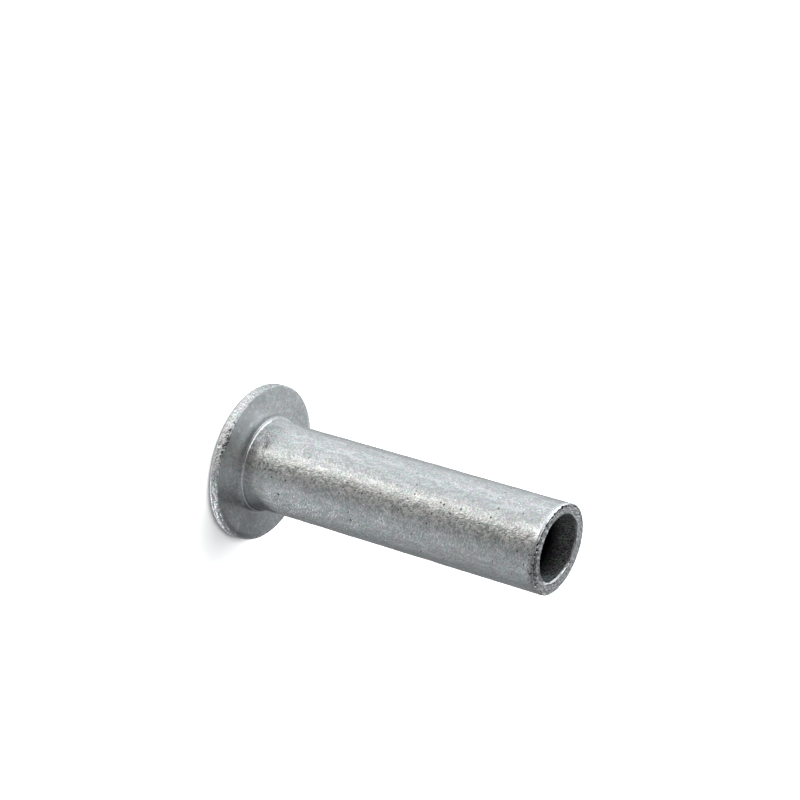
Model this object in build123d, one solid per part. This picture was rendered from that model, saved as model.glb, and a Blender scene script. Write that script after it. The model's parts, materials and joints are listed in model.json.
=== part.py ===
"""Tubular rivet with a flat round head, a short raised neck and a long shank with a deep blind bore.

The real rivet is upset, or headed, cold from one slug of metal, so it is one solid: a body of
revolution, sheared off at the tail a little out of square. All sizes are millimetres. The origin is
the centre of the head's outer face, on which the rivet stands, and +Z runs along its axis to the
tail, where the bore opens.
"""

from build123d import *
from math import cos, radians, sin, tan
import os

# Overall lengths along the axis, the first to the middle of the tail's face
length_under_head = 22.25
head_thickness = 0.75

# Head: a thin flat disc with rounded edges
head_diameter = 10.6
head_face_edge_radius = 0.18
head_underside_edge_radius = 0.22

# Shank: a plain cylinder
shank_diameter = 6.0

# Neck under the head: a low collar that sweeps down to the shank in a hollow curve
collar_step = 0.22
collar_height = 0.36
collar_edge_radius = 0.07
flare_length = 1.25

# Bore: blind, punched in from the tail, with a conical bottom
wall_thickness = 0.78
closed_end_thickness = 4.8
bore_point_angle = 120.0

# Tail: a flat ring that leans by the shear's angle, higher on the -X side, with both edges rounded
tail_lean_angle = 3.3
tail_outer_edge_radius = 0.14
bore_lip_radius = 0.18

# Radii that follow from the diameters
head_radius = head_diameter / 2
shank_radius = shank_diameter / 2
collar_radius = shank_radius + collar_step
bore_radius = shank_radius - wall_thickness

# Heights that follow from the lengths, measured from the head's outer face
tail_height = head_thickness + length_under_head
collar_top = head_thickness + collar_height
flare_top = collar_top + flare_length
bore_point_height = bore_radius / tan(radians(bore_point_angle / 2))
bore_floor = closed_end_thickness + bore_point_height
blank_height = tail_height + shank_radius

# Directions in the profile's plane: outwards from the axis, up to the tail and down
OUT = (1, 0)
UP = (0, 1)
DOWN = (0, -1)


def head_outline():
    """The disc: its outer face, its rim between two rounded edges, and its underside in to the neck."""
    face_edge = (head_radius - head_face_edge_radius, 0)
    rim_low = (head_radius, head_face_edge_radius)
    rim_high = (head_radius, head_thickness - head_underside_edge_radius)
    underside_edge = (head_radius - head_underside_edge_radius, head_thickness)
    return [
        Line((0, 0), face_edge),
        TangentArc(face_edge, rim_low, tangent=OUT),
        Line(rim_low, rim_high),
        TangentArc(rim_high, underside_edge, tangent=UP),
        Line(underside_edge, (collar_radius, head_thickness)),
    ]


def neck_outline():
    """The collar's wall and rounded edge, then the hollow sweep that runs smoothly into the shank."""
    edge_start = (collar_radius, collar_top - collar_edge_radius)
    edge_end = (collar_radius - collar_edge_radius, collar_top)
    shank_start = (shank_radius, flare_top)
    return [
        Line((collar_radius, head_thickness), edge_start),
        TangentArc(edge_start, edge_end, tangent=UP),
        TangentArc(shank_start, edge_end, tangent=DOWN),
    ]


def shank_outline():
    """The plain shank and the bore inside it, both longer than the rivet, so that the tail can be cut."""
    shank_end = (shank_radius, blank_height)
    bore_end = (bore_radius, blank_height)
    wall_foot = (bore_radius, bore_floor)
    point = (0, closed_end_thickness)
    return [
        Line((shank_radius, flare_top), shank_end),
        Line(shank_end, bore_end),
        Line(bore_end, wall_foot),
        Line(wall_foot, point),
        Line(point, (0, 0)),
    ]


def headed_blank():
    """The half profile, drawn in the XZ plane and turned once about the rivet's axis."""
    outline = head_outline() + neck_outline() + shank_outline()
    profile = make_face(Plane.XZ * Curve(outline))
    return revolve(profile, Axis.Z, 360)


def shear_tail(blank):
    """Cuts the blank off at its length, in a plane that leans by the shear's angle."""
    lean = radians(tail_lean_angle)
    tail_plane = Plane(origin=(0, 0, tail_height), z_dir=(sin(lean), 0, cos(lean)))
    return split(blank, bisect_by=tail_plane, keep=Keep.BOTTOM)


def tail_ring_edges(body):
    """The edges of the flat ring at the tail: the bore's comes first and the shank's last."""
    ring = body.faces().filter_by(GeomType.PLANE).sort_by(Axis.Z)[-1]
    return ring.edges().sort_by(SortBy.LENGTH)


def rivet_body():
    """The headed blank, sheared to length, with the bore's lip and the shank's edge rounded."""
    body = shear_tail(headed_blank())
    bore_edge = tail_ring_edges(body)[0]
    body = fillet(bore_edge, bore_lip_radius)
    shank_edge = tail_ring_edges(body)[-1]
    return fillet(shank_edge, tail_outer_edge_radius)


os.makedirs("parts", exist_ok=True)
export_step(rivet_body(), "parts/rivet_body.step")
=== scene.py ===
# %% [markdown]
# A tubular rivet
#
# The rivet is one small piece of aluminium: a flat round head, a low collar under it, and a straight
# hollow shank. It is 23 mm long, it stands on its head, and its tail with the open bore points up.
# The shape is simple, so its looks rest on three things: true edges, a surface that has been
# cut, pressed and tumbled, and light that has bright and dark parts for the metal to reflect.

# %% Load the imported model
import json
import math

import bpy
import numpy as np
from mathutils import Matrix, Vector


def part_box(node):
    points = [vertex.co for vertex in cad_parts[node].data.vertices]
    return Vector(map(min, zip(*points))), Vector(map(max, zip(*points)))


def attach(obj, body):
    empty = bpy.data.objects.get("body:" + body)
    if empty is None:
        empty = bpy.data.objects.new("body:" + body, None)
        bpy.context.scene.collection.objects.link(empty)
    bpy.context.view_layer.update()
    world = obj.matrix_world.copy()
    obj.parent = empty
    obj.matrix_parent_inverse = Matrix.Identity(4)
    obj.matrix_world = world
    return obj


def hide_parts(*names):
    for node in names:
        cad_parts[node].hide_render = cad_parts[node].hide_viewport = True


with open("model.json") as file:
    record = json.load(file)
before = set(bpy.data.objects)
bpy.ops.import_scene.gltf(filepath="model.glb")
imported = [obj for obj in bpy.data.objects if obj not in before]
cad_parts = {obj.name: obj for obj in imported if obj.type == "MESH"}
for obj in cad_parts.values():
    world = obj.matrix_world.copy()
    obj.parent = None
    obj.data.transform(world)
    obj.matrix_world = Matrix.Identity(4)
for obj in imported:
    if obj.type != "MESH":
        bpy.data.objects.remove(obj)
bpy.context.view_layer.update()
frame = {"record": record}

MM = 0.001
mounts = {mount["name"]: mount for mount in frame["record"]["mounts"]}
tail_face = mounts["tail_face"]
head_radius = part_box("rivet_body")[1].x
shank_radius = mounts["shank"]["dims"]["r_mm"] * MM
bore_radius = mounts["bore"]["dims"]["r_mm"] * MM
head_thickness = mounts["head_underside"]["pos_m"][2]
tail_height = tail_face["pos_m"][2]
tail_lean = math.atan2(tail_face["axis"][0], tail_face["axis"][2])
print(f"head {2 * head_radius / MM:.2f} mm across, shank {2 * shank_radius / MM:.2f} mm, "
      f"bore {2 * bore_radius / MM:.2f} mm, {tail_height / MM:.2f} mm long")

# %% [markdown]
# The camera looks at the rivet from the tail's side, so that the bore, the shank and the underside
# of the head all show. In the picture the shank lies across, although the rivet stands, because the
# camera is turned about its own line of sight. Its place is written as a distance, a height angle
# and a turn about the rivet, which are easier to read and to change than a matrix.

# %% Camera
PICTURE_WIDTH_PX = 800
FOCAL_LENGTH_PX = 2400
SENSOR_MM = 36.0
CAMERA_DISTANCE = 154.981 * MM
CAMERA_AZIMUTH = math.radians(2.7059)
CAMERA_ELEVATION = math.radians(29.7568)
CAMERA_ROLL = math.radians(105.2358)
CAMERA_CLIP = (1 * MM, 10.0)
AIM = Vector((-6.3519, -0.3002, 9.3473)) * MM


def camera_axes(azimuth, elevation, roll):
    """The camera's right, up and back directions. Azimuth 0 stands on the -Y side, and a positive
    roll turns the top of the picture to the left as the camera sees it."""
    level = math.cos(elevation)
    back = Vector((math.sin(azimuth) * level, -math.cos(azimuth) * level, math.sin(elevation)))
    right = Vector((0, 0, 1)).cross(back).normalized()
    up = back.cross(right)
    turn = Matrix.Rotation(roll, 3, back)
    return turn @ right, turn @ up, back


right, up, back = camera_axes(CAMERA_AZIMUTH, CAMERA_ELEVATION, CAMERA_ROLL)
camera = bpy.data.objects.new("camera", bpy.data.cameras.new("camera"))
camera.data.sensor_width = SENSOR_MM
camera.data.lens = SENSOR_MM * FOCAL_LENGTH_PX / PICTURE_WIDTH_PX
camera.data.clip_start, camera.data.clip_end = CAMERA_CLIP
camera.location = AIM + back * CAMERA_DISTANCE
camera.rotation_mode = "QUATERNION"
camera.rotation_quaternion = Matrix((right, up, back)).transposed().to_quaternion()
bpy.context.scene.collection.objects.link(camera)
bpy.context.scene.camera = camera
print(f"lens {camera.data.lens:.0f} mm, camera at {[round(c / MM, 1) for c in camera.location]} mm")

# %% [markdown]
# Every material and light below is a small graph of nodes. A graph that is drawn by hand is hard to
# compare and to repeat, so these are written as code, and a few helpers keep that short: the first
# puts a number or another node's output into a socket, and the others make the commonest nodes.

# %% Node helpers


def feed(tree, value, socket):
    """Joins value to the socket if it is an output, and otherwise sets the socket to it."""
    if isinstance(value, bpy.types.NodeSocket):
        tree.links.new(value, socket)
    else:
        socket.default_value = value


def place_node(tree, kind, inputs=None, **settings):
    """A new node of that kind, with its settings and its inputs, given by name or by number."""
    node = tree.nodes.new(kind)
    for name, value in settings.items():
        setattr(node, name, value)
    for name, value in (inputs or {}).items():
        feed(tree, value, node.inputs[name])
    return node


def maths(tree, operation, first, *others):
    """A sum with numbers, such as ADD, MULTIPLY or MAXIMUM, taken from the left: what the first two
    numbers make goes into the next sum with the third. ABSOLUTE takes one number alone."""
    for other in others or (0.0,):
        first = place_node(tree, "ShaderNodeMath", {0: first, 1: other}, operation=operation).outputs[0]
    return first


def vector_maths(tree, operation, *values):
    """One sum with vectors, such as ADD or DIVIDE, or a vector's LENGTH, which is a number."""
    node = place_node(tree, "ShaderNodeVectorMath", dict(enumerate(values)), operation=operation)
    return node.outputs["Value" if operation == "LENGTH" else "Vector"]


def scaled(tree, vector, factor):
    """A vector times a number."""
    inputs = {0: vector, "Scale": factor}
    return place_node(tree, "ShaderNodeVectorMath", inputs, operation="SCALE").outputs["Vector"]


def coordinates(tree, vector):
    """The three numbers of a vector, as the outputs X, Y and Z."""
    return place_node(tree, "ShaderNodeSeparateXYZ", {0: vector}).outputs


def remap(tree, value, low, high, to_low=0.0, to_high=1.0):
    """A smooth step: to_low up to low, to_high from high on, and an S-curve between them."""
    inputs = {"Value": value, "From Min": low, "From Max": high, "To Min": to_low, "To Max": to_high}
    node = place_node(tree, "ShaderNodeMapRange", inputs, interpolation_type="SMOOTHSTEP")
    return node.outputs["Result"]


def blend(tree, share, first, second, mode="MIX"):
    """Two colours mixed by share, 0 for the first and 1 for the second."""
    node = place_node(tree, "ShaderNodeMix", data_type="RGBA", blend_type=mode)
    feed(tree, share, node.inputs["Factor"])
    colours = [socket for socket in node.inputs if socket.type == "RGBA"]
    feed(tree, first, colours[0])
    feed(tree, second, colours[1])
    return next(socket for socket in node.outputs if socket.type == "RGBA")


print("node helpers are ready")

# %% [markdown]
# Bare metal shows only what is around it, so the room is part of its look. The room here is a
# photographer's light tent: bright cloth on one side, a strip of light near the camera, a dim gap
# where the camera looks in, and a grey far side. It is painted on the world as rings of greys around
# the upright axis, one ring for each height, so that no lamp has to be placed for each reflection.
# An upright wall mirrors the rings below the horizon, and a level face those above it. The cloth
# is a little cool and the strip of light a little warm, which gives the grey metal its two tints. To
# the camera itself the world is a plain white backdrop.

# %% The greys of the light tent
LEFT, RIGHT = 180, -180
# From below upwards. The stops are degrees round the rivet, from -Y towards -X, and the grey there.
TENT_RINGS = [
    ((RIGHT, 0.70), (0, 0.70), (LEFT, 0.70)),
    ((RIGHT, 0.70), (-160, 2.30), (-120, 2.10), (-90, 1.50), (-60, 0.80), (-30, 0.40), (0, 0.40),
     (14, 0.80), (30, 1.80), (60, 1.25), (90, 1.80), (120, 1.10), (150, 0.70), (LEFT, 0.60)),
    ((RIGHT, 0.30), (-140, 0.24), (-99, 0.37), (-76, 0.44), (-55, 0.46), (-28, 0.36), (-4, 0.42),
     (12, 0.72), (26, 1.39), (40, 0.86), (60, 0.74), (80, 0.83), (99, 0.86), (124, 0.79),
     (150, 0.52), (LEFT, 0.30)),
    ((RIGHT, 0.50), (-165, 0.34), (-130, 0.26), (-90, 0.20), (-60, 0.18), (0, 0.20), (30, 0.38),
     (58, 0.95), (85, 1.65), (108, 1.10), (150, 0.62), (168, 1.00), (LEFT, 1.60)),
    ((RIGHT, 0.04), (-134, 0.08), (-90, 0.36), (-60, 0.46), (-20, 0.18), (0, 0.14), (30, 0.12),
     (60, 0.26), (85, 0.58), (115, 0.82), (150, 0.84), (177, 0.78), (LEFT, 0.04)),
    ((RIGHT, 0.12), (-150, 0.13), (-60, 0.44), (0, 0.20), (30, 0.34), (60, 0.65), (92, 0.95),
     (110, 2.30), (148, 2.50), (164, 0.70), (LEFT, 0.40)),
    ((RIGHT, 0.20), (-150, 0.18), (-60, 0.44), (0, 0.26), (30, 0.60), (60, 1.10), (110, 1.70),
     (140, 0.60), (LEFT, 0.40)),
]
RING_EDGES = [(-68, -56), (-43, -33), (-25, -17), (4, 18), (41, 46), (53, 58)]  # degrees up
COOL_CLOTH = np.array((0.960, 1.0, 1.028))
WARM_STRIP = np.array((1.01, 1.0, 0.955))
STRIP_MIDDLE, STRIP_HALF = 8, 34  # degrees
BACKDROP = (1.0, 1.0, 1.0, 1)


def grey_ring(tree, turn, stops):
    """One ring of the tent: a ramp of greys along the turn, which runs from 0 to 1. Each grey is a
    little cool, but warm near the strip of light, by a bell curve of the angle from its middle."""
    node = place_node(tree, "ShaderNodeValToRGB", {"Fac": turn})
    node.color_ramp.interpolation = "EASE"
    elements = node.color_ramp.elements
    while len(elements) < len(stops):
        elements.new(0.5)
    for element, (angle, grey) in zip(elements, stops):
        element.position = (angle - RIGHT) / (LEFT - RIGHT)
        strip = math.exp(-((angle - STRIP_MIDDLE) / STRIP_HALF) ** 2)
        element.color = (*(grey * (COOL_CLOTH + strip * (WARM_STRIP - COOL_CLOTH))), 1)
    return node.outputs["Color"]


print(f"the tent has {len(TENT_RINGS)} rings and {sum(len(stops) for stops in TENT_RINGS)} stops")

# %% Hang the tent in the world
world = bpy.data.worlds.new("light_tent")
bpy.context.scene.world = world
world.use_nodes = True
tent = world.node_tree
tent.nodes.clear()
way = coordinates(tent, place_node(tent, "ShaderNodeTexCoord").outputs["Generated"])
minus_x = maths(tent, "MULTIPLY", way["X"], -1)
minus_y = maths(tent, "MULTIPLY", way["Y"], -1)
azimuth = maths(tent, "ARCTAN2", minus_x, minus_y)
turn = maths(tent, "ADD", maths(tent, "DIVIDE", azimuth, 2 * math.pi), 0.5)
light = grey_ring(tent, turn, TENT_RINGS[0])
for stops, (low, high) in zip(TENT_RINGS[1:], RING_EDGES):
    share = remap(tent, way["Z"], math.sin(math.radians(low)), math.sin(math.radians(high)))
    light = blend(tent, share, light, grey_ring(tent, turn, stops))
seen_directly = place_node(tent, "ShaderNodeLightPath").outputs["Is Camera Ray"]
shown = blend(tent, seen_directly, light, BACKDROP)
background = place_node(tent, "ShaderNodeBackground", {"Color": shown})
place_node(tent, "ShaderNodeOutputWorld", {"Surface": background.outputs[0]})
print(f"the tent takes {len(tent.nodes)} nodes")

# %% [markdown]
# The floor is plain white paper and wide. Like a photographer's paper sweep it runs into the backdrop
# with no horizon, so its far part fades to the backdrop's own white. It is left out of the metal's
# reflections, because the tent already holds what the rivet should mirror. One broad lamp above it
# gives the rivet its soft shadow, and the metal doesn't mirror that lamp either.

# %% Floor
FLOOR_HALF = 600 * MM
PAPER = (0.93, 0.93, 0.93, 1)
PAPER_ROUGHNESS = 0.9
PAPER_FADES = (70 * MM, 200 * MM)  # distances from the rivet between which it turns into backdrop

corners = [(x * FLOOR_HALF, y * FLOOR_HALF, 0) for x, y in ((-1, -1), (1, -1), (1, 1), (-1, 1))]
floor_mesh = bpy.data.meshes.new("floor")
floor_mesh.from_pydata(corners, [], [(0, 1, 2, 3)])
floor = bpy.data.objects.new("floor", floor_mesh)
bpy.context.scene.collection.objects.link(floor)
paper = bpy.data.materials.new("white_paper")
paper.use_nodes = True
paper_tree = paper.node_tree
near_paper = paper_tree.nodes["Principled BSDF"]
near_paper.inputs["Base Color"].default_value = PAPER
near_paper.inputs["Roughness"].default_value = PAPER_ROUGHNESS
near_paper.inputs["Specular IOR Level"].default_value = 0.0
far_paper = place_node(paper_tree, "ShaderNodeEmission", {"Color": BACKDROP})
floor_place = place_node(paper_tree, "ShaderNodeTexCoord").outputs["Object"]
faded = remap(paper_tree, vector_maths(paper_tree, "LENGTH", floor_place), *PAPER_FADES)
sweep = place_node(paper_tree, "ShaderNodeMixShader", {
    0: faded, 1: near_paper.outputs["BSDF"], 2: far_paper.outputs["Emission"]})
feed(paper_tree, sweep.outputs[0], paper_tree.nodes["Material Output"].inputs["Surface"])
floor_mesh.materials.append(paper)
floor.visible_glossy = False
print(f"the paper is {2 * FLOOR_HALF:.1f} m wide")

# %% Lamp
LAMP_PLACE = Vector((-90, 30, 190)) * MM
LAMP_AIM = Vector((0, 0, 5)) * MM
LAMP_SIZE = 160 * MM
LAMP_WATTS = 0.9

lamp = bpy.data.objects.new("top_lamp", bpy.data.lights.new("top_lamp", "AREA"))
lamp.data.size = LAMP_SIZE
lamp.data.energy = LAMP_WATTS
lamp.location = LAMP_PLACE
lamp.rotation_mode = "QUATERNION"
lamp.rotation_quaternion = (LAMP_AIM - LAMP_PLACE).to_track_quat("-Z", "Y")
lamp.visible_glossy = False
bpy.context.scene.collection.objects.link(lamp)
bpy.context.scene.view_settings.view_transform = "Standard"
print(f"the lamp hangs {(LAMP_PLACE - LAMP_AIM).length / MM:.0f} mm away")

# %% [markdown]
# The rivet is a body of revolution, so its surface is one half outline turned about the upright axis.
# The outline is written as short functions, one for a straight line and one for an arc, each of
# which gives a row of points. A round edge gets many close points, and a long straight wall few.
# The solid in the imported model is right, but its faces are coarse for a close view, and it has no
# dents or nicks, so this finer shell takes its place. Each stretch of the outline keeps its name, so
# that wear and finish can be laid on the edge, the ring or the wall that they belong to.

# %% Sizes of the half outline
HEAD_FACE_EDGE = 0.18 * MM
HEAD_UNDERSIDE_EDGE = 0.11 * MM
RIM_DRAFT = 0.02 * MM
COLLAR_STEP = 0.27 * MM
COLLAR_HEIGHT = 0.43 * MM
COLLAR_EDGE = 0.17 * MM
FLARE_LENGTH = 1.12 * MM
TAIL_EDGE = 0.17 * MM
TAIL_LOSS = 0.01 * MM  # what wear has taken off the sheared face
BORE_LIP = 0.18 * MM
CLOSED_END = 4.8 * MM
BORE_POINT_ANGLE = math.radians(120)

collar_radius = shank_radius + COLLAR_STEP
collar_top = head_thickness + COLLAR_HEIGHT
flare_top = collar_top + FLARE_LENGTH
tail_level = tail_height - TAIL_LOSS
bore_floor = CLOSED_END + bore_radius / math.tan(BORE_POINT_ANGLE / 2)
print(f"the shank starts {flare_top / MM:.2f} mm up, and the bore's wall ends at {bore_floor / MM:.2f} mm")

# %% The half outline


def straight(start, end, count, crowd=1.0):
    """count points from start up to, but without, end: start + t (end - start), with t from 0 to 1.
    A crowd above 1 raises t to that power, which draws the points towards the start."""
    t = np.linspace(0, 1, count, endpoint=False)[:, None] ** crowd
    return np.array(start) + t * (np.array(end) - np.array(start))


def arc(centre, radius, first_deg, last_deg, count):
    """count points on a circle from the first angle up to, but without, the last.
    An angle of 0 points away from the axis and 90 points up."""
    angle = np.radians(np.linspace(first_deg, last_deg, count, endpoint=False))
    return np.array(centre) + radius * np.stack([np.cos(angle), np.sin(angle)], axis=1)


def outline():
    """The rivet's half outline as named rows of (distance from the axis, height), from the middle
    of the head's outer face, round the head, up the shank, over the tail and down the bore."""
    flare_step = COLLAR_STEP - COLLAR_EDGE
    flare_radius = (FLARE_LENGTH**2 + flare_step**2) / (2 * flare_step)
    flare_sweep = math.degrees(math.asin(FLARE_LENGTH / flare_radius))
    flare_centre = (shank_radius + flare_radius, flare_top)
    rim_foot = head_radius - RIM_DRAFT
    rim_low = (rim_foot - HEAD_FACE_EDGE, HEAD_FACE_EDGE)
    rim_high = (head_radius - HEAD_UNDERSIDE_EDGE, head_thickness - HEAD_UNDERSIDE_EDGE)
    collar_edge = (collar_radius - COLLAR_EDGE, collar_top - COLLAR_EDGE)
    tail_edge = (shank_radius - TAIL_EDGE, tail_level - TAIL_EDGE)
    lip = (bore_radius + BORE_LIP, tail_level - BORE_LIP)
    return [
        ("outer_face", straight((0, 0), (rim_low[0], 0), 6)),
        ("face_edge", arc(rim_low, HEAD_FACE_EDGE, -90, 0, 8)),
        ("rim", straight((rim_foot, rim_low[1]), (head_radius, rim_high[1]), 8)),
        ("underside_edge", arc(rim_high, HEAD_UNDERSIDE_EDGE, 0, 90, 8)),
        ("underside", straight((rim_high[0], head_thickness), (collar_radius, head_thickness), 16)),
        ("collar", straight((collar_radius, head_thickness), (collar_radius, collar_edge[1]), 5)),
        ("collar_edge", arc(collar_edge, COLLAR_EDGE, 0, 90, 6)),
        ("flare", arc(flare_centre, flare_radius, 180 + flare_sweep, 180, 12)),
        ("shank", straight((shank_radius, flare_top), (shank_radius, tail_edge[1]), 74)),
        ("tail_edge", arc(tail_edge, TAIL_EDGE, 0, 90, 10)),
        ("tail_ring", straight((tail_edge[0], tail_level), (lip[0], tail_level), 14)),
        ("lip", arc(lip, BORE_LIP, 90, 180, 10)),
        ("bore", straight((bore_radius, lip[1]), (bore_radius, bore_floor), 15, crowd=2.0)),
        ("bore_point", straight((bore_radius, bore_floor), (0, CLOSED_END), 5)),
        ("bore_middle", np.array([(0.0, CLOSED_END)])),
    ]


stretches = outline()
half = np.concatenate([points for _, points in stretches])
along = np.concatenate([[0], np.cumsum(np.linalg.norm(np.diff(half, axis=0), axis=1))])
firsts = np.cumsum([0] + [len(points) for _, points in stretches])
span = {name: (along[first], along[min(last, len(half) - 1)])
        for (name, _), first, last in zip(stretches, firsts[:-1], firsts[1:])}
print(f"the half outline has {len(half)} points and is {along[-1] / MM:.1f} mm long")

# %% [markdown]
# A tumbled rivet isn't a perfect body of revolution. Its shank has shallow dents that make the
# reflections wander, the rim of the head is pitted where it knocked against others, and the sheared
# tail has small nicks on its edge. The head's underside is a little dished, lower at the rim than at
# the collar, as a pressed head is. All of this is real depth in the mesh, which also shows in the
# outline, where a bump in the material would leave it smooth: a table with one depth for each row of
# the outline and each step round the axis, measured inwards.

# %% Rows, columns and soft windows
COLUMNS = 480
angle = np.linspace(-np.pi, np.pi, COLUMNS, endpoint=False)
angle_deg = np.degrees(angle)
depth = np.zeros((len(half), COLUMNS))


def smooth(t):
    """The S-curve 3t^2 - 2t^3 for t clipped to 0 to 1."""
    t = np.clip(t, 0, 1)
    return t * t * (3 - 2 * t)


def window(first_name, last_name, fade):
    """1 along the outline from the first named stretch to the last, fading to 0 outside them over
    the fade length. The result is one column of numbers, a row for each point of the outline."""
    start, end = span[first_name][0], span[last_name][1]
    return (smooth((along - start) / fade + 1) * smooth((end - along) / fade + 1))[:, None]


def around(centre_deg, half_width_deg):
    """A bell curve round the axis, as one row: exp(-(angle difference / half width)^2)."""
    apart = (angle_deg - centre_deg + 180) % 360 - 180
    return np.exp(-(apart / half_width_deg) ** 2)[None]


def sector(first_deg, last_deg, rise, fall):
    """A flat-topped curve round the axis, as one row: an S-curve from 0 at the first angle to 1 at
    rise degrees after it, and another down from fall degrees before the last angle to 0 there."""
    return (smooth((angle_deg - first_deg) / rise) * smooth((last_deg - angle_deg) / fall))[None]


def ripples(radius, shortest, longest, count, seed):
    """A random wavy height over the unrolled surface, about -2 to 2. It is the sum of cosine waves
    cos(n a + k s + p), with s the distance along the outline. Each n is a whole number, so that the
    waves close round the axis, and each wave's length lies between shortest and longest."""
    random = np.random.default_rng(seed)
    wave_number = 2 * np.pi / np.exp(random.uniform(np.log(shortest), np.log(longest), count))
    heading = random.uniform(0, 2 * np.pi, count)
    n = np.round(wave_number * np.cos(heading) * radius)[:, None, None]
    k = (wave_number * np.sin(heading))[:, None, None]
    phase = random.uniform(0, 2 * np.pi, count)[:, None, None]
    waves = np.cos(n * angle + k * along[:, None] + phase)
    return waves.sum(axis=0) / math.sqrt(count / 2)


print(f"{len(half)} rows by {COLUMNS} columns")

# %% Dents in the shank, the neck and the head
SHANK_DENTS = 0.004 * MM
NECK_DENTS = 0.003 * MM
HEAD_DENTS = 0.003 * MM
RIM_PITS = 0.012 * MM
RIM_PIT_LEVEL = 0.8  # how far the waves are sunk, so that more or less of the rim is pitted
UNDERSIDE_DISH = 0.035 * MM

shank_waves = ripples(shank_radius, 0.8 * MM, 5 * MM, 70, seed=11)
neck_waves = ripples(shank_radius, 1.0 * MM, 4 * MM, 40, seed=12)
head_waves = ripples(head_radius, 1.5 * MM, 6 * MM, 40, seed=13)
rim_waves = ripples(head_radius, 0.16 * MM, 0.6 * MM, 80, seed=14)
depth += SHANK_DENTS * shank_waves * window("shank", "shank", 0.4 * MM)
depth += NECK_DENTS * neck_waves * window("collar_edge", "flare", 0.4 * MM)
depth += HEAD_DENTS * head_waves * window("underside", "underside", 0.1 * MM)
depth += RIM_PITS * (rim_waves + RIM_PIT_LEVEL).clip(0) * window("rim", "rim", 0.06 * MM)
out_along = ((half[:, 0] - shank_radius) / (head_radius - shank_radius)).clip(0, 1)[:, None]
depth += UNDERSIDE_DISH * (2 * out_along - 1) * window("underside", "underside", 0.2 * MM)
print(f"the deepest dent is {1000 * depth.max() / MM:.0f} micrometres")

# %% Wear of the head's edge, and nicks in the tail's edge
UNDERSIDE_WEAR = [(-72, 26, 0.05), (-20, 10, 0.03), (150, 25, 0.04)]  # degrees, half width, mm
NICKS = [  # degrees round the rivet; distance from the axis, half width, half length and depth in mm
    (62, 2.86, 0.10, 0.08, 0.09), (52, 2.84, 0.10, 0.05, 0.07), (43, 2.88, 0.05, 0.06, 0.06),
    (35, 2.85, 0.10, 0.04, 0.06), (24, 2.82, 0.08, 0.08, 0.09), (10, 2.86, 0.14, 0.04, 0.06),
    (-2, 2.88, 0.12, 0.07, 0.09), (-9, 2.80, 0.07, 0.09, 0.07), (-14, 2.90, 0.10, 0.06, 0.08),
    (-21, 2.84, 0.12, 0.05, 0.07), (-29, 2.90, 0.10, 0.05, 0.06), (-52, 2.50, 0.11, 0.08, 0.08),
    (-63, 2.80, 0.14, 0.07, 0.05), (85, 2.93, 0.06, 0.04, 0.06), (97, 2.90, 0.08, 0.07, 0.09),
    (118, 2.75, 0.05, 0.04, 0.06), (122, 2.62, 0.04, 0.04, 0.05), (150, 2.90, 0.05, 0.04, 0.05),
    (-120, 2.92, 0.05, 0.04, 0.05), (-165, 2.90, 0.05, 0.04, 0.05),
]

worn_edge = window("underside_edge", "underside_edge", 0.25 * MM)
for centre, half_width, millimetres in UNDERSIDE_WEAR:
    depth += millimetres * MM * around(centre, half_width) * worn_edge

from_axis = (half[:, 0] / MM)[:, None]
on_tail = window("tail_edge", "tail_ring", 0.02 * MM)
nicks = np.zeros_like(depth)
for centre, distance, half_width, half_length, millimetres in NICKS:
    across = on_tail * np.exp(-((from_axis - distance) / half_length) ** 2)
    nicks += millimetres * across * around(centre, math.degrees(half_width * MM / shank_radius))
depth += nicks * MM
print(f"{len(NICKS)} nicks, the deepest {nicks.max():.2f} mm")

# %% [markdown]
# The shear also left the tail's edge uneven: rolled over on one side, with a thin burr below it, and
# nearly square on the other. The bore's lip is rounded here and flattened there. A round edge is the
# plain case in the outline above, so each other form is written as the depth that turns the arc into
# it, and a curve round the axis says how much of that form there is on each side. The angles are
# degrees round the rivet, with 0 on the camera's side and positive angles up in the picture.

# %% Other forms for a round edge


def reshaped(name, radius, reach):
    """Relief that turns a round edge into another form. Seen from the arc's centre the edge lies at
    reach(t) in the direction t, from 0 across to 90 degrees up, and the arc itself at its radius."""
    first = [stretch for stretch, _ in stretches].index(name)
    turn = np.radians(np.linspace(0, 90, len(stretches[first][1]), endpoint=False))
    relief = np.zeros((len(half), 1))
    relief[firsts[first]:firsts[first + 1], 0] = radius - reach(turn)
    return relief


def square(radius):
    """The square corner round the arc: radius / max(cos t, sin t)."""
    return lambda turn: radius / np.maximum(np.cos(turn), np.sin(turn))


def bevelled(radius, drop, width):
    """The square corner cut by a flat bevel that is drop high and width wide: the nearer of the
    corner and the bevel's plane, which is its distance over the cosine from its normal."""
    slope = math.atan2(width, drop)
    plane = math.cos(slope) * radius + math.sin(slope) * (radius - drop)
    return lambda turn: np.minimum(square(radius)(turn), plane / np.cos(turn - slope))


tail_square = reshaped("tail_edge", TAIL_EDGE, square(TAIL_EDGE))
tail_bevel = reshaped("tail_edge", TAIL_EDGE, bevelled(TAIL_EDGE, 0.06 * MM, 0.09 * MM))
lip_square = reshaped("lip", BORE_LIP, square(BORE_LIP))
lip_bevel = reshaped("lip", BORE_LIP, bevelled(BORE_LIP, 0.09 * MM, 0.12 * MM))
print(f"a square corner stands {-1000 * tail_square.min() / MM:.0f} micrometres proud of the round edge")

# %% The tail's edge and the bore's lip, each in its own form on each side
NEAR_SQUARE = 0.6  # how square the near lower side is

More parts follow.
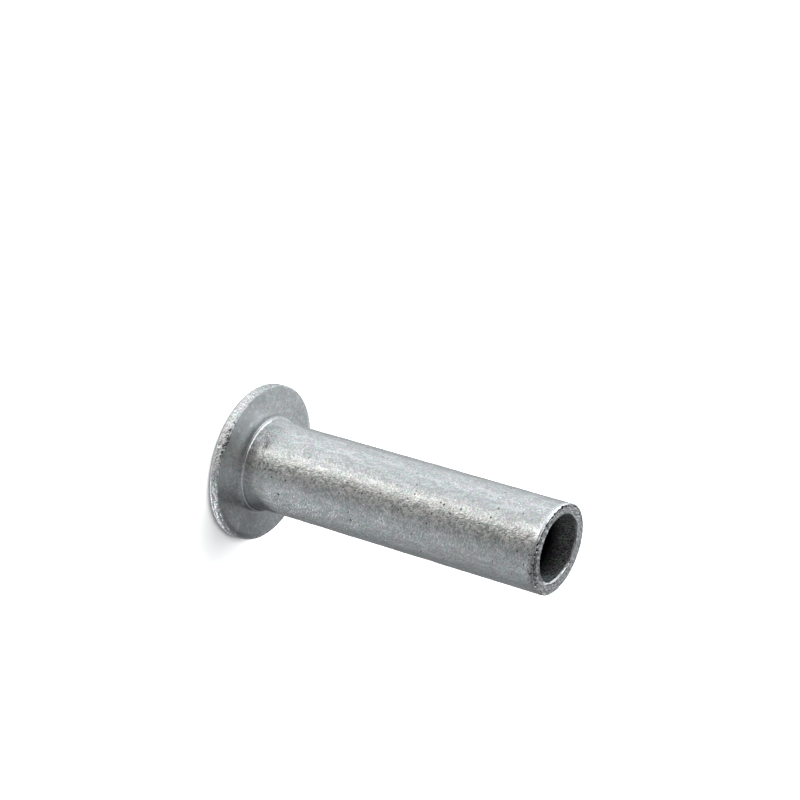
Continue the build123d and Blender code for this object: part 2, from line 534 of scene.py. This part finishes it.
far_side = smooth((np.abs(angle_deg) - 72) / 24)[None]
squared_edge = np.maximum(far_side, NEAR_SQUARE * sector(-100, -4, 10, 10))
rolled_edge = sector(-6, 86, 10, 14)
depth += squared_edge * tail_square
depth += rolled_edge * (1 - squared_edge) * tail_bevel

far_lip = (smooth((angle_deg - 55) / 50) + smooth((-150 - angle_deg) / 15))[None]
near_lip = sector(-85, 30, 20, 20)
flattened_lip = around(-133, 24)
depth += (0.45 + 0.3 * far_lip + 0.45 * near_lip) * (1 - flattened_lip) * lip_square
depth += flattened_lip * lip_bevel
print(f"{squared_edge.mean():.0%} of the tail's edge is square and {rolled_edge.mean():.0%} is rolled")

# %% [markdown]
# The ring between the two edges is torn a little by the shear. The bore was punched a tenth of a
# millimetre off the axis, and its lip bulges on one side. The shift and the burr move points straight
# out from the axis and not along the surface's own direction, so they have a table of their own.

# %% The torn ring, the bulging lip, the shifted bore and the burr
RING_TEAR = 0.006 * MM
RING_TEAR_LEVEL = 3.0  # deep enough that only the highest crests are cut flat
LIP_WAVES = 0.006 * MM
LIP_BULGE = 0.04 * MM
BORE_SHIFT = 0.09 * MM
BORE_SHIFT_TOWARDS = 85  # degrees
BURR = 0.05 * MM

ring_waves = ripples(shank_radius, 0.12 * MM, 0.8 * MM, 90, seed=16)
depth += RING_TEAR * (ring_waves + RING_TEAR_LEVEL).clip(1) * window("tail_ring", "tail_ring", 0.3 * MM)
lip_waves = ripples(bore_radius, 0.3 * MM, 2 * MM, 40, seed=15)
depth += LIP_WAVES * lip_waves * window("lip", "lip", 0.08 * MM)

past_lip = (along - span["lip"][0])[:, None]
mouth = window("lip", "lip", 0.5 * MM) * (past_lip > 0)
depth -= LIP_BULGE * mouth * smooth(past_lip / BORE_LIP) * around(-35, 30)

beside = np.cos(np.radians(angle_deg - BORE_SHIFT_TOWARDS))[None]
in_bore = window("lip", "bore_middle", 0.30 * MM)
towards_axis = (half[:, 0, None] / bore_radius).clip(0, 1)
widening = BORE_SHIFT * beside * in_bore * towards_axis

past_edge = (along - span["tail_edge"][1])[:, None] / MM
burr_rows = smooth((past_edge + 0.50) / 0.22) * smooth((0.04 - past_edge) / 0.10)
widening += BURR * burr_rows * rolled_edge
print(f"points move by up to {1000 * np.abs(widening).max() / MM:.0f} micrometres from the axis")

# %% [markdown]
# Turning the outline gives a grid: one row for each point of the outline, one column for each step
# round the axis. Each point first moves inwards by its depth, and then the rows near the tail are
# slid up on one side and down on the other, because the tail was sheared a little out of square.
# The first and last rows lie on the axis, where all the columns meet, so each is a single point.

# %% Turn the outline into a mesh
LEAN_STARTS = 12 * MM
SHARP_EDGE_ANGLE = math.radians(40)


def outward(rows):
    """The unit vector at each row that points out of the metal: the outline's own direction, turned
    a quarter to the right."""
    step = np.gradient(rows, axis=0)
    step /= np.linalg.norm(step, axis=1, keepdims=True)
    return np.stack([step[:, 1], -step[:, 0]], axis=1)


def leaning(height):
    """0 below the level where the lean starts, 1 at the tail, even between."""
    return np.clip((height - LEAN_STARTS) / (tail_height - BORE_LIP - LEAN_STARTS), 0, 1)


def turned_shell(name, rows, inwards, widening):
    """A closed mesh of revolution. A point in row i and column j is at distance r_i from the axis,
    height z_i and angle a_j, so it is (x, y, z) = (-r sin a, -r cos a, z - w x tan(lean)), where w
    is what leaning gives for its row. Angle 0 faces -Y. inwards moves each point into the metal,
    and widening moves it straight away from the axis."""
    normal = outward(rows)
    radius = (rows[:, 0, None] - inwards * normal[:, 0, None] + widening)[1:-1]
    height = (rows[:, 1, None] - inwards * normal[:, 1, None])[1:-1]
    x = -radius * np.sin(angle)
    y = -radius * np.cos(angle)
    z = height - leaning(rows[1:-1, 1, None]) * x * math.tan(tail_lean)
    grid = np.stack([x, y, z], axis=-1)
    ends = [(0, 0, rows[0, 1]), (0, 0, rows[-1, 1])]
    points = np.concatenate([grid.reshape(-1, 3), ends])
    first, last = len(points) - 2, len(points) - 1
    this = np.arange(COLUMNS)
    after = (this + 1) % COLUMNS
    row = np.arange(len(grid) - 1)[:, None] * COLUMNS
    quads = np.stack([row + this, row + COLUMNS + this, row + COLUMNS + after, row + after], axis=-1)
    top = (len(grid) - 1) * COLUMNS
    first_fan = np.stack([np.full(COLUMNS, first), this, after], axis=1)
    last_fan = np.stack([np.full(COLUMNS, last), top + after, top + this], axis=1)
    mesh = bpy.data.meshes.new(name)
    faces = quads.reshape(-1, 4).tolist() + first_fan.tolist() + last_fan.tolist()
    mesh.from_pydata(points.tolist(), [], faces)
    mesh.shade_smooth()
    mesh.set_sharp_from_angle(angle=SHARP_EDGE_ANGLE)
    return mesh


mesh = turned_shell("rivet", half, depth, widening)
rivet = bpy.data.objects.new("rivet", mesh)
bpy.context.scene.collection.objects.link(rivet)
print(f"the shell has {len(mesh.vertices)} points and {len(mesh.polygons)} faces")

# %% [markdown]
# The finish differs from place to place: the cut tail is duller than the shank, and the bore is dark
# with old dirt and, deeper in, with painted shade. The lip and the rolled edge are rubbed bright and
# lightened further as painted highlight. Grime and painted shade darken the tail ring beside its edge,
# a stretch of the head's underside edge is darker, and painted shade darkens the collar's corner and
# two patches of the head's underside. Each such place is a number from 0 to 1 stored at every point
# of the mesh, an attribute, which the material then reads by name. That follows the shape exactly,
# which a picture wrapped round it wouldn't.

# %% Where each finish lies: whole parts of the rivet


def paint(name, values):
    """Stores one number for each point of the shell under that name. values is a row for each
    point of the outline, with one column or as many as the shell; the two poles come last."""
    table = np.broadcast_to(values, depth.shape)
    numbers = np.concatenate([table[1:-1].ravel(), [table[0, 0], table[-1, 0]]])
    layer = mesh.attributes.new(name, "FLOAT", "POINT")
    layer.data.foreach_set("value", numbers.astype(np.float32))


bright_lip = window("lip", "lip", 0.02 * MM) * flattened_lip
rolled_rows = window("tail_edge", "tail_edge", 0.02 * MM) * rolled_edge
# Rubbed bright, and partly painted highlight: the lip is lightened all round but hardly on its upper near
# side, over a wider band on its near lower side, and the rolled edge is lightened where its glint lies.
narrow_lip = window("lip", "lip", 0.06 * MM) * (1 - 0.9 * around(50, 45))
near_lip_rub_and_glint = window("lip", "lip", 0.16 * MM) * near_lip
bore_wall = window("bore", "bore_middle", 0.10 * MM)
dark_mouth = window("bore", "bore_middle", 0.24 * MM) * around(100, 35)
rolled = window("tail_edge", "tail_edge", 0.10 * MM) * rolled_edge

paint("rim", window("face_edge", "underside_edge", 0.03 * MM))
paint("underside", window("underside", "underside", 0.03 * MM))
paint("neck", window("collar", "flare", 0.3 * MM))
paint("tail", window("tail_edge", "lip", 0.02 * MM) * (1 - rolled_rows) * (1 - bright_lip))
paint("rolled", smooth((from_axis - 2.90) / 0.03) * rolled)
paint("lip", np.maximum(narrow_lip, near_lip_rub_and_glint))
paint("bore", np.maximum(bore_wall, dark_mouth))
print("parts:", ", ".join(layer.name for layer in mesh.attributes if layer.data_type == "FLOAT"))

# %% Where each finish lies: dirt, wear and painted shade
NICK_DARK_AT = 0.05  # mm of depth

# Painted shade and grime: the tail ring's outer band is darkened, strongly on the lower side and less on
# the upper side. A dark seam runs along the nicks, and a stretch of the head's underside edge on the
# camera's side is darker.
lower_side, upper_side = around(-36, 32), around(30, 50)
darkened_ring_band = on_tail * smooth((from_axis - 2.42) / 0.20) * (1 - 0.5 * smooth((from_axis - 2.84) / 0.08))
dark_seam = on_tail * np.exp(-((from_axis - 2.87) / 0.05) ** 2)
darker_rim_edge = window("underside_edge", "underside_edge", 0.30 * MM) * around(6, 14)
grime = darkened_ring_band * (0.80 * lower_side + 0.36 * upper_side)
grime = grime + 0.5 * dark_seam * upper_side
grime = grime + 0.7 * darker_rim_edge
outer_underside = window("underside", "underside", 0.03 * MM) * smooth((from_axis - 3.25) / 0.30)

paint("grime", grime.clip(0, 1))
paint("worn", window("flare", "shank", 0.4 * MM) * around(-3, 18))
# Painted shade: two darker patches on the outer part of the head's underside, one on the lower side and
# one on the upper side.
paint("stain", outer_underside * (around(-92, 26) + around(33, 20)))
# Painted shade: one side of the collar's wall, in the corner under the head, is darkened.
paint("crevice", window("collar", "collar", 0.06 * MM) * around(62, 32))
paint("nick", (nicks / NICK_DARK_AT).clip(0, 1))
print(f"grime covers {(grime > 0.5).mean():.1%} of the rows and columns")

# %% [markdown]
# The metal's finish is a fine uneven grain, left by pressing and tumbling, with small dark pits
# where dirt stays. Five node groups make these effects from a place in millimetres: a grain with a
# size and a stretch along the axis, a scatter of ragged pits, one single mark at a chosen spot, a
# grit of small cells that each have a luck of their own, and short wandering scratches. A group
# only gives out numbers, so the same group can dull one place and roughen another.

# %% How a node group is made and used


def node_group(name, inputs, outputs):
    """An empty shader node group. inputs and outputs give each socket's name and its kind, Float or
    Vector. Returns the group's tree, its inputs as a node's outputs, and the node for its results."""
    group = bpy.data.node_groups.new(name, "ShaderNodeTree")
    for direction, sockets in (("INPUT", inputs), ("OUTPUT", outputs)):
        for socket_name, kind in sockets.items():
            group.interface.new_socket(name=socket_name, in_out=direction, socket_type="NodeSocket" + kind)
    return group, place_node(group, "NodeGroupInput").outputs, place_node(group, "NodeGroupOutput")


def use(tree, group, **inputs):
    """Places a group in a tree with its inputs set, and returns its outputs."""
    return place_node(tree, "ShaderNodeGroup", inputs, node_tree=group).outputs


print("a group has named inputs and outputs")

# %% Grain: noise of a chosen size, stretched along the axis
grain_group, given, result = node_group(
    "metal_grain", {"Place": "Vector", "Size": "Float", "Stretch": "Float"}, {"Height": "Float"})
long_size = maths(grain_group, "MULTIPLY", given["Size"], given["Stretch"])
grain_size = place_node(grain_group, "ShaderNodeCombineXYZ", {
    "X": given["Size"], "Y": given["Size"], "Z": long_size})
grain_place = vector_maths(grain_group, "DIVIDE", given["Place"], grain_size.outputs[0])
grain_noise = place_node(grain_group, "ShaderNodeTexNoise", {
    "Vector": grain_place, "Scale": 1.0, "Detail": 2.0})
feed(grain_group, maths(grain_group, "SUBTRACT", grain_noise.outputs[0], 0.5), result.inputs["Height"])
print(f"{grain_group.name} has {len(grain_group.nodes)} nodes")

# %% Pits: ragged discs, each in its own cell, of which only a share are there
PIT_RAGGEDNESS = 9.0  # waves of the ragged edge in a millimetre
PIT_EDGE = (0.55, 1.0)  # of the radius, where the pit ends

pit_group, given, result = node_group(
    "pits", {"Place": "Vector", "Spacing": "Float", "Radius": "Float", "Share": "Float"},
    {"Mask": "Float"})
wander = place_node(pit_group, "ShaderNodeTexNoise", {
    "Vector": given["Place"], "Scale": PIT_RAGGEDNESS, "Detail": 2.0})
wander = vector_maths(pit_group, "MULTIPLY_ADD", wander.outputs["Color"], (2, 2, 2), (-1, -1, -1))
wander = scaled(pit_group, wander, given["Radius"])
pit_cells = place_node(pit_group, "ShaderNodeTexVoronoi", {
    "Vector": vector_maths(pit_group, "ADD", wander, given["Place"]),
    "Scale": maths(pit_group, "DIVIDE", 1.0, given["Spacing"])})
pit_distance = maths(pit_group, "MULTIPLY", pit_cells.outputs["Distance"], given["Spacing"])
pit_luck = coordinates(pit_group, pit_cells.outputs["Color"])
is_there = maths(pit_group, "LESS_THAN", pit_luck["X"], given["Share"])
own_radius = maths(pit_group, "MULTIPLY", given["Radius"], maths(pit_group, "ADD", 0.5, pit_luck["Y"]))
pit_disc = remap(pit_group, maths(pit_group, "DIVIDE", pit_distance, own_radius), *PIT_EDGE, 1.0, 0.0)
feed(pit_group, maths(pit_group, "MULTIPLY", pit_disc, is_there), result.inputs["Mask"])
print(f"{pit_group.name} has {len(pit_group.nodes)} nodes")

# %% A single mark: an oval with soft edges
mark_group, given, result = node_group(
    "single_mark", {"Place": "Vector", "Centre": "Vector", "Size": "Vector"}, {"Mask": "Float"})
from_centre = vector_maths(mark_group, "SUBTRACT", given["Place"], given["Centre"])
in_sizes = vector_maths(mark_group, "DIVIDE", from_centre, given["Size"])
mark_oval = remap(mark_group, vector_maths(mark_group, "LENGTH", in_sizes), 0.5, 1.0, 1.0, 0.0)
feed(mark_group, mark_oval, result.inputs["Mask"])
print(f"{mark_group.name} has {len(mark_group.nodes)} nodes")

# %% Grit: small cells with a height and a luck of their own
GRIT_MIDDLE = 0.45  # the distance from a cell's point that counts as level

grit_group, given, result = node_group(
    "grit", {"Place": "Vector", "Spacing": "Float"}, {"Height": "Float", "Luck": "Vector"})
grit_cells = place_node(grit_group, "ShaderNodeTexVoronoi", {
    "Vector": given["Place"], "Scale": maths(grit_group, "DIVIDE", 1.0, given["Spacing"])})
grit_height = maths(grit_group, "SUBTRACT", GRIT_MIDDLE, grit_cells.outputs["Distance"])
feed(grit_group, grit_height, result.inputs["Height"])
feed(grit_group, grit_cells.outputs["Color"], result.inputs["Luck"])
print(f"{grit_group.name} has {len(grit_group.nodes)} nodes")

# %% Scratches: the lines where a grain crosses its middle level, kept in some patches only
PATCH_SIZE = 0.45  # of the scratches' own size
PATCH_EDGE = (0.01, 0.07)

scratch_group, given, result = node_group(
    "scratches", {"Place": "Vector", "Size": "Float", "Stretch": "Float", "Width": "Float"},
    {"Mask": "Float"})
scratch_field = use(scratch_group, grain_group,
                    Place=given["Place"], Size=given["Size"], Stretch=given["Stretch"])["Height"]
off_the_line = maths(scratch_group, "ABSOLUTE", scratch_field)
scratch_line = remap(scratch_group, off_the_line, 0.0, given["Width"], 1.0, 0.0)
patch_size = maths(scratch_group, "MULTIPLY", given["Size"], PATCH_SIZE)
patch_field = use(scratch_group, grain_group, Place=given["Place"], Size=patch_size, Stretch=1.0)
scratch_patch = remap(scratch_group, patch_field["Height"], *PATCH_EDGE)
feed(scratch_group, maths(scratch_group, "MULTIPLY", scratch_line, scratch_patch), result.inputs["Mask"])
print("node groups:", ", ".join(group.name for group in bpy.data.node_groups))

# %% [markdown]
# The material starts as bare aluminium: fully metallic, a light grey with a trace of blue. Its wear
# and dirt, and some painted shade and painted highlight, are laid over that. So the material first
# reads the painted places by name, and takes its patterns from the rivet's own coordinates in
# millimetres, which need no unwrapping and stay the same size on the head, the shank and the tail.

# %% The aluminium: places and patterns
PAINTED = ("rim", "underside", "neck", "tail", "rolled", "lip", "bore", "grime", "worn", "stain",
           "crevice", "nick")
ELSEWHERE = (7.0, 3.0, 11.0)  # mm, so that the light scratches don't lie on the dark ones
metal = bpy.data.materials.new("satin_aluminium")
metal.use_nodes = True
tree = metal.node_tree
shader = tree.nodes["Principled BSDF"]
shader.inputs["Metallic"].default_value = 1.0
mask = {name: place_node(tree, "ShaderNodeAttribute", attribute_name=name).outputs["Fac"]
        for name in PAINTED}

place = scaled(tree, place_node(tree, "ShaderNodeTexCoord").outputs["Object"], 1 / MM)
shifted = vector_maths(tree, "ADD", place, ELSEWHERE)
fine = use(tree, grain_group, Place=place, Size=0.08, Stretch=1.8)["Height"]
coarse = use(tree, grain_group, Place=place, Size=0.19, Stretch=2.2)["Height"]
streaks = use(tree, grain_group, Place=place, Size=0.08, Stretch=12.0)["Height"]
dimples = use(tree, grain_group, Place=place, Size=0.26, Stretch=2.2)["Height"]
rubs = use(tree, grain_group, Place=place, Size=0.30, Stretch=4.0)["Height"]
mottle = use(tree, grain_group, Place=place, Size=0.45, Stretch=1.3)["Height"]
clouds = use(tree, grain_group, Place=place, Size=1.4, Stretch=2.0)["Height"]
dark_scratches = use(tree, scratch_group, Place=place, Size=0.60, Stretch=1.2, Width=0.012)["Mask"]
light_scratches = use(tree, scratch_group, Place=shifted, Size=0.55, Stretch=2.2, Width=0.022)["Mask"]
grit = use(tree, grit_group, Place=place, Spacing=0.15)
luck = coordinates(tree, grit["Luck"])["X"]
print(f"{len(mask)} painted places")

# %% [markdown]
# Most pits may fall anywhere, but a few dark marks are large enough to be known by their places.
# Those are single ovals at a height and an angle on the shank. The small pits crowd where the shank
# was rubbed most, and none lie on the head's underside or the neck.

# %% Pits and marks
PIT_SHARE, WORN_PIT_SHARE = 0.16, 0.4
DARK_MARKS = [  # height mm, degrees round the rivet, half length along the axis mm, half width mm
    (18.8, 3, 0.10, 0.07), (19.25, 55, 0.10, 0.08), (15.75, 14, 0.07, 0.07), (13.8, 15, 0.07, 0.07),
    (3.9, -35, 0.12, 0.09), (3.1, -7, 0.16, 0.07), (3.3, -15, 0.09, 0.08), (17.65, -4, 0.08, 0.08),
    (16.1, -8, 0.20, 0.06), (21.3, 30, 0.08, 0.08), (13.45, 7, 0.07, 0.07), (9.55, -41, 0.14, 0.08),
    (14.7, -58, 0.12, 0.08), (12.55, -7, 0.10, 0.08),
]


def on_shank(height, degrees):
    """The place on the shank's surface at that height and that angle, in millimetres."""
    turn = math.radians(degrees)
    radius = shank_radius / MM
    return -radius * math.sin(turn), -radius * math.cos(turn), height


dark_marks = [
    use(tree, mark_group, Place=place, Centre=on_shank(height, degrees),
        Size=(half_width, half_width, half_length))["Mask"]
    for height, degrees, half_length, half_width in DARK_MARKS
]
pit_share = maths(tree, "ADD", PIT_SHARE, maths(tree, "MULTIPLY", mask["worn"], WORN_PIT_SHARE))
small_pits = use(tree, pit_group, Place=place, Spacing=0.36, Radius=0.070, Share=pit_share)["Mask"]
large_pits = use(tree, pit_group, Place=place, Spacing=1.6, Radius=0.10, Share=0.40)["Mask"]
under_head = maths(tree, "MAXIMUM", mask["underside"], mask["neck"])
pits = maths(tree, "MAXIMUM", small_pits, large_pits, *dark_marks)
pits = maths(tree, "MULTIPLY", pits, maths(tree, "SUBTRACT", 1.0, under_head))
print(f"{len(DARK_MARKS)} dark marks on the shank")

# %% [markdown]
# The colour is built in layers, each over the last: dusty and rubbed specks, faint tints, lengthwise
# rubs, scratches, painted shade in the collar's corner and on the head's underside, the dull sheared
# tail, grime and painted shade on the tail ring, the lip and rolled edge rubbed bright with painted
# highlight, the dirty bore with painted shade deeper in and a paler patch in its mouth, and last the
# pits and the near-black nicks. Each layer is one mix of the colour so far with a new one, by a mask.
# A mask with an even edge looks airbrushed, so the edges of the nicks and of the grime and shade are
# broken up by adding grain to them before they are cut off.

# %% The colours
BARE = (0.80, 0.812, 0.822, 1)
COOL = (0.72, 0.80, 0.85, 1)
WARM = (0.86, 0.82, 0.77, 1)
PINKISH = (1.0, 0.96, 0.98, 1)
GREENISH = (0.94, 1.0, 0.955, 1)
DUSTY = (0.60, 0.612, 0.622, 1)
# A light grey for rubbed metal, also laid on the lip and the rolled edge as painted highlight.
RUBBED_AND_GLINT = (0.96, 0.965, 0.97, 1)
# This grey colours the dark scratches and worn specks, and the painted shade by the collar.
SCRATCH_AND_SHADE = (0.40, 0.41, 0.42, 1)
# The grey of the painted shade on the head's underside.
UNDERSIDE_SHADE = (0.50, 0.515, 0.525, 1)
SHEARED = (0.86, 0.865, 0.86, 1)
TORN = (0.50, 0.50, 0.50, 1)
# Near black for the grime and for the painted shade on the tail ring.
GRIME_AND_SHADE = (0.12, 0.115, 0.115, 1)
BORE_MOUTH = (0.76, 0.84, 0.76, 1)
BORE_PURPLE = (0.68, 0.58, 0.70, 1)
# A paler bluish grey for one patch on the bore's wall.
BORE_PALE_PATCH = (0.80, 0.92, 1.00, 1)
# Near black: the dirt specks in the bore, and the painted shade deeper down.
BORE_DIRT_AND_SHADE = (0.015, 0.014, 0.016, 1)
PIT_DIRT = (0.10, 0.10, 0.10, 1)
# Near black, the colour of the nicks.
NICK_BLACK = (0.012, 0.012, 0.012, 1)
print("the bare metal is a grey of", BARE[:3])

# %% Colour of the bare metal
specks = maths(tree, "ADD", fine, maths(tree, "MULTIPLY", grit["Height"], 0.35))
speckled = blend(tree, remap(tree, specks, -0.14, 0.20), DUSTY, RUBBED_AND_GLINT)
tints = blend(tree, remap(tree, mottle, -0.12, 0.12), PINKISH, GREENISH)
worn_specks = maths(tree, "MULTIPLY", remap(tree, luck, 0.15, 0.55, 0.9, 0.0), mask["worn"])

colour = blend(tree, remap(tree, clouds, -0.15, 0.15), COOL, WARM)
colour = blend(tree, 0.5, BARE, colour)
colour = blend(tree, 0.80, colour, speckled)
colour = blend(tree, 1.0, colour, tints, "MULTIPLY")
colour = blend(tree, remap(tree, rubs, -0.16, 0.0, 0.42, 0.0), colour, DUSTY)
colour = blend(tree, remap(tree, rubs, 0.02, 0.16, 0.0, 0.6), colour, RUBBED_AND_GLINT)
colour = blend(tree, 0.06, colour, grit["Luck"])
colour = blend(tree, worn_specks, colour, SCRATCH_AND_SHADE)
colour = blend(tree, maths(tree, "MULTIPLY", light_scratches, 0.85), colour, RUBBED_AND_GLINT)
colour = blend(tree, maths(tree, "MULTIPLY", dark_scratches, 0.6), colour, SCRATCH_AND_SHADE)
print(f"{len(tree.nodes)} nodes so far")

# %% Colour of the painted shade, the tail, and the grime and shade
# Painted shade on the head's underside, broken up by a coarse grain.
stain = maths(tree, "MULTIPLY", mask["stain"], remap(tree, mottle, -0.25, 0.0))
both_grains = maths(tree, "ADD", fine, coarse)
torn = blend(tree, remap(tree, both_grains, -0.25, 0.15), TORN, SHEARED)
# Grime and painted shade, with their edges broken by grain.
broken_grime_and_shade = maths(tree, "ADD", mask["grime"], maths(tree, "MULTIPLY", both_grains, 2.4))
broken_grime_and_shade = remap(tree, broken_grime_and_shade, 0.35, 0.80)
grime_and_shade_share = maths(tree, "MULTIPLY", broken_grime_and_shade, remap(tree, mask["grime"], 0.02, 0.15))

# Painted shade in the corner between the collar and the head's underside.
colour = blend(tree, maths(tree, "MULTIPLY", mask["crevice"], 0.7), colour, SCRATCH_AND_SHADE)
colour = blend(tree, stain, colour, UNDERSIDE_SHADE)
colour = blend(tree, mask["tail"], colour, torn)
# Lays the grime and the painted shade on the tail ring.
colour = blend(tree, grime_and_shade_share, colour, GRIME_AND_SHADE)
# Rubbed metal and painted highlight on the lip and the rolled edge.
colour = blend(tree, maths(tree, "MAXIMUM", mask["lip"], mask["rolled"]), colour, RUBBED_AND_GLINT)
print(f"{len(tree.nodes)} nodes so far")

# %% Colour of the bore, the pits and the nicks
# Painted shade: between these depths the bore's colour turns near black.
BORE_SHADE_FADES = (0.7, 2.0)  # mm below the tail, where the bore turns dark
PALE_PATCH_PLACE = (1.85, 0.95, 22.3)  # mm, on the bore's wall just inside the mouth
PALE_PATCH_SIZE = (0.60, 0.60, 0.50)

# A paler bluish patch on the bore's wall, just inside the mouth.
pale_patch = use(tree, mark_group, Place=place, Centre=PALE_PATCH_PLACE, Size=PALE_PATCH_SIZE)["Mask"]
pale_patch = maths(tree, "MULTIPLY", pale_patch, remap(tree, fine, -0.1, 0.05))
below_tail = maths(tree, "SUBTRACT", tail_height / MM, coordinates(tree, place)["Z"])
broken_nick = maths(tree, "ADD", mask["nick"], maths(tree, "MULTIPLY", fine, 1.6))
broken_nick = remap(tree, broken_nick, 0.40, 0.60)
nick_share = maths(tree, "MULTIPLY", broken_nick, remap(tree, mask["nick"], 0.05, 0.20))

bore_colour = blend(tree, remap(tree, mottle, -0.12, 0.12), BORE_MOUTH, BORE_PURPLE)
bore_colour = blend(tree, remap(tree, fine, -0.2, 0.15, 0.80, 0.0), bore_colour, BORE_DIRT_AND_SHADE)
bore_colour = blend(tree, pale_patch, bore_colour, BORE_PALE_PATCH)
# Painted shade: the bore turns near black further below the tail.
bore_colour = blend(tree, remap(tree, below_tail, *BORE_SHADE_FADES), bore_colour, BORE_DIRT_AND_SHADE)
colour = blend(tree, mask["bore"], colour, bore_colour)
colour = blend(tree, maths(tree, "MULTIPLY", pits, 0.75), colour, PIT_DIRT)
# The nicks are coloured near black.
colour = blend(tree, nick_share, colour, NICK_BLACK)
feed(tree, colour, shader.inputs["Base Color"])
print(f"{len(tree.nodes)} nodes so far")

# %% [markdown]
# Roughness and height follow the same masks. The shank is nearly polished; the sheared tail, the
# underside of the head and the dirt are duller. The grain is too fine to be a mesh, at a tenth of a
# millimetre and less, so it is a bump in the material. It is weaker under the head, where nothing
# rubbed, and stronger on the tail and on the rim.

# %% Roughness
BARE_ROUGHNESS = (0.12, 0.20)
PLACE_ROUGHNESS = {"tail": 0.32, "underside": 0.42, "rim": 0.24, "bore": 0.6}
PIT_ROUGHNESS = 0.5

places = [maths(tree, "MULTIPLY", mask[name], level) for name, level in PLACE_ROUGHNESS.items()]
pitted = maths(tree, "MULTIPLY", pits, PIT_ROUGHNESS)
roughness = maths(tree, "MAXIMUM", remap(tree, coarse, -0.2, 0.2, *BARE_ROUGHNESS), *places, pitted)
feed(tree, roughness, shader.inputs["Roughness"])
print("roughness from", BARE_ROUGHNESS[0], "to", max(PLACE_ROUGHNESS.values()))

# %% Height
BUMP_DEPTH = 0.10 * MM
PIT_DEPTH = 0.15  # of the bump's depth, as are the shares of the grains below
RELIEF = ((fine, 0.14), (coarse, 0.11), (streaks, 0.055), (dimples, 0.12), (grit["Height"], 0.07))
CALM_UNDER_HEAD, ROUGH_TAIL, CALM_LIP, ROUGH_RIM = 0.5, 1.5, 0.6, 2.0

grain_share = maths(tree, "SUBTRACT", 1.0, maths(tree, "MULTIPLY", under_head, CALM_UNDER_HEAD))
grain_share = maths(tree, "ADD", grain_share, maths(tree, "MULTIPLY", mask["tail"], ROUGH_TAIL))
off_the_lip = maths(tree, "SUBTRACT", 1.0, maths(tree, "MULTIPLY", mask["lip"], CALM_LIP))
grain_share = maths(tree, "MULTIPLY", grain_share, off_the_lip)
grain_share = maths(tree, "ADD", grain_share, maths(tree, "MULTIPLY", mask["rim"], ROUGH_RIM))
grains = maths(tree, "ADD", *(maths(tree, "MULTIPLY", grain, share) for grain, share in RELIEF))
height = maths(tree, "MULTIPLY", grains, grain_share)
height = maths(tree, "SUBTRACT", height, maths(tree, "MULTIPLY", pits, PIT_DEPTH))
bump = place_node(tree, "ShaderNodeBump", {"Height": height, "Strength": 1.0, "Distance": BUMP_DEPTH})
feed(tree, bump.outputs["Normal"], shader.inputs["Normal"])
rivet.data.materials.append(metal)
print(f"the aluminium has {len(tree.nodes)} nodes")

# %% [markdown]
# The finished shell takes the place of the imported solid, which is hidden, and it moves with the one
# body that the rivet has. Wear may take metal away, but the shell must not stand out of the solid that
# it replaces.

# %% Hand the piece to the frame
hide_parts("rivet_body")
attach(rivet, "root")
print("the shell replaces rivet_body")
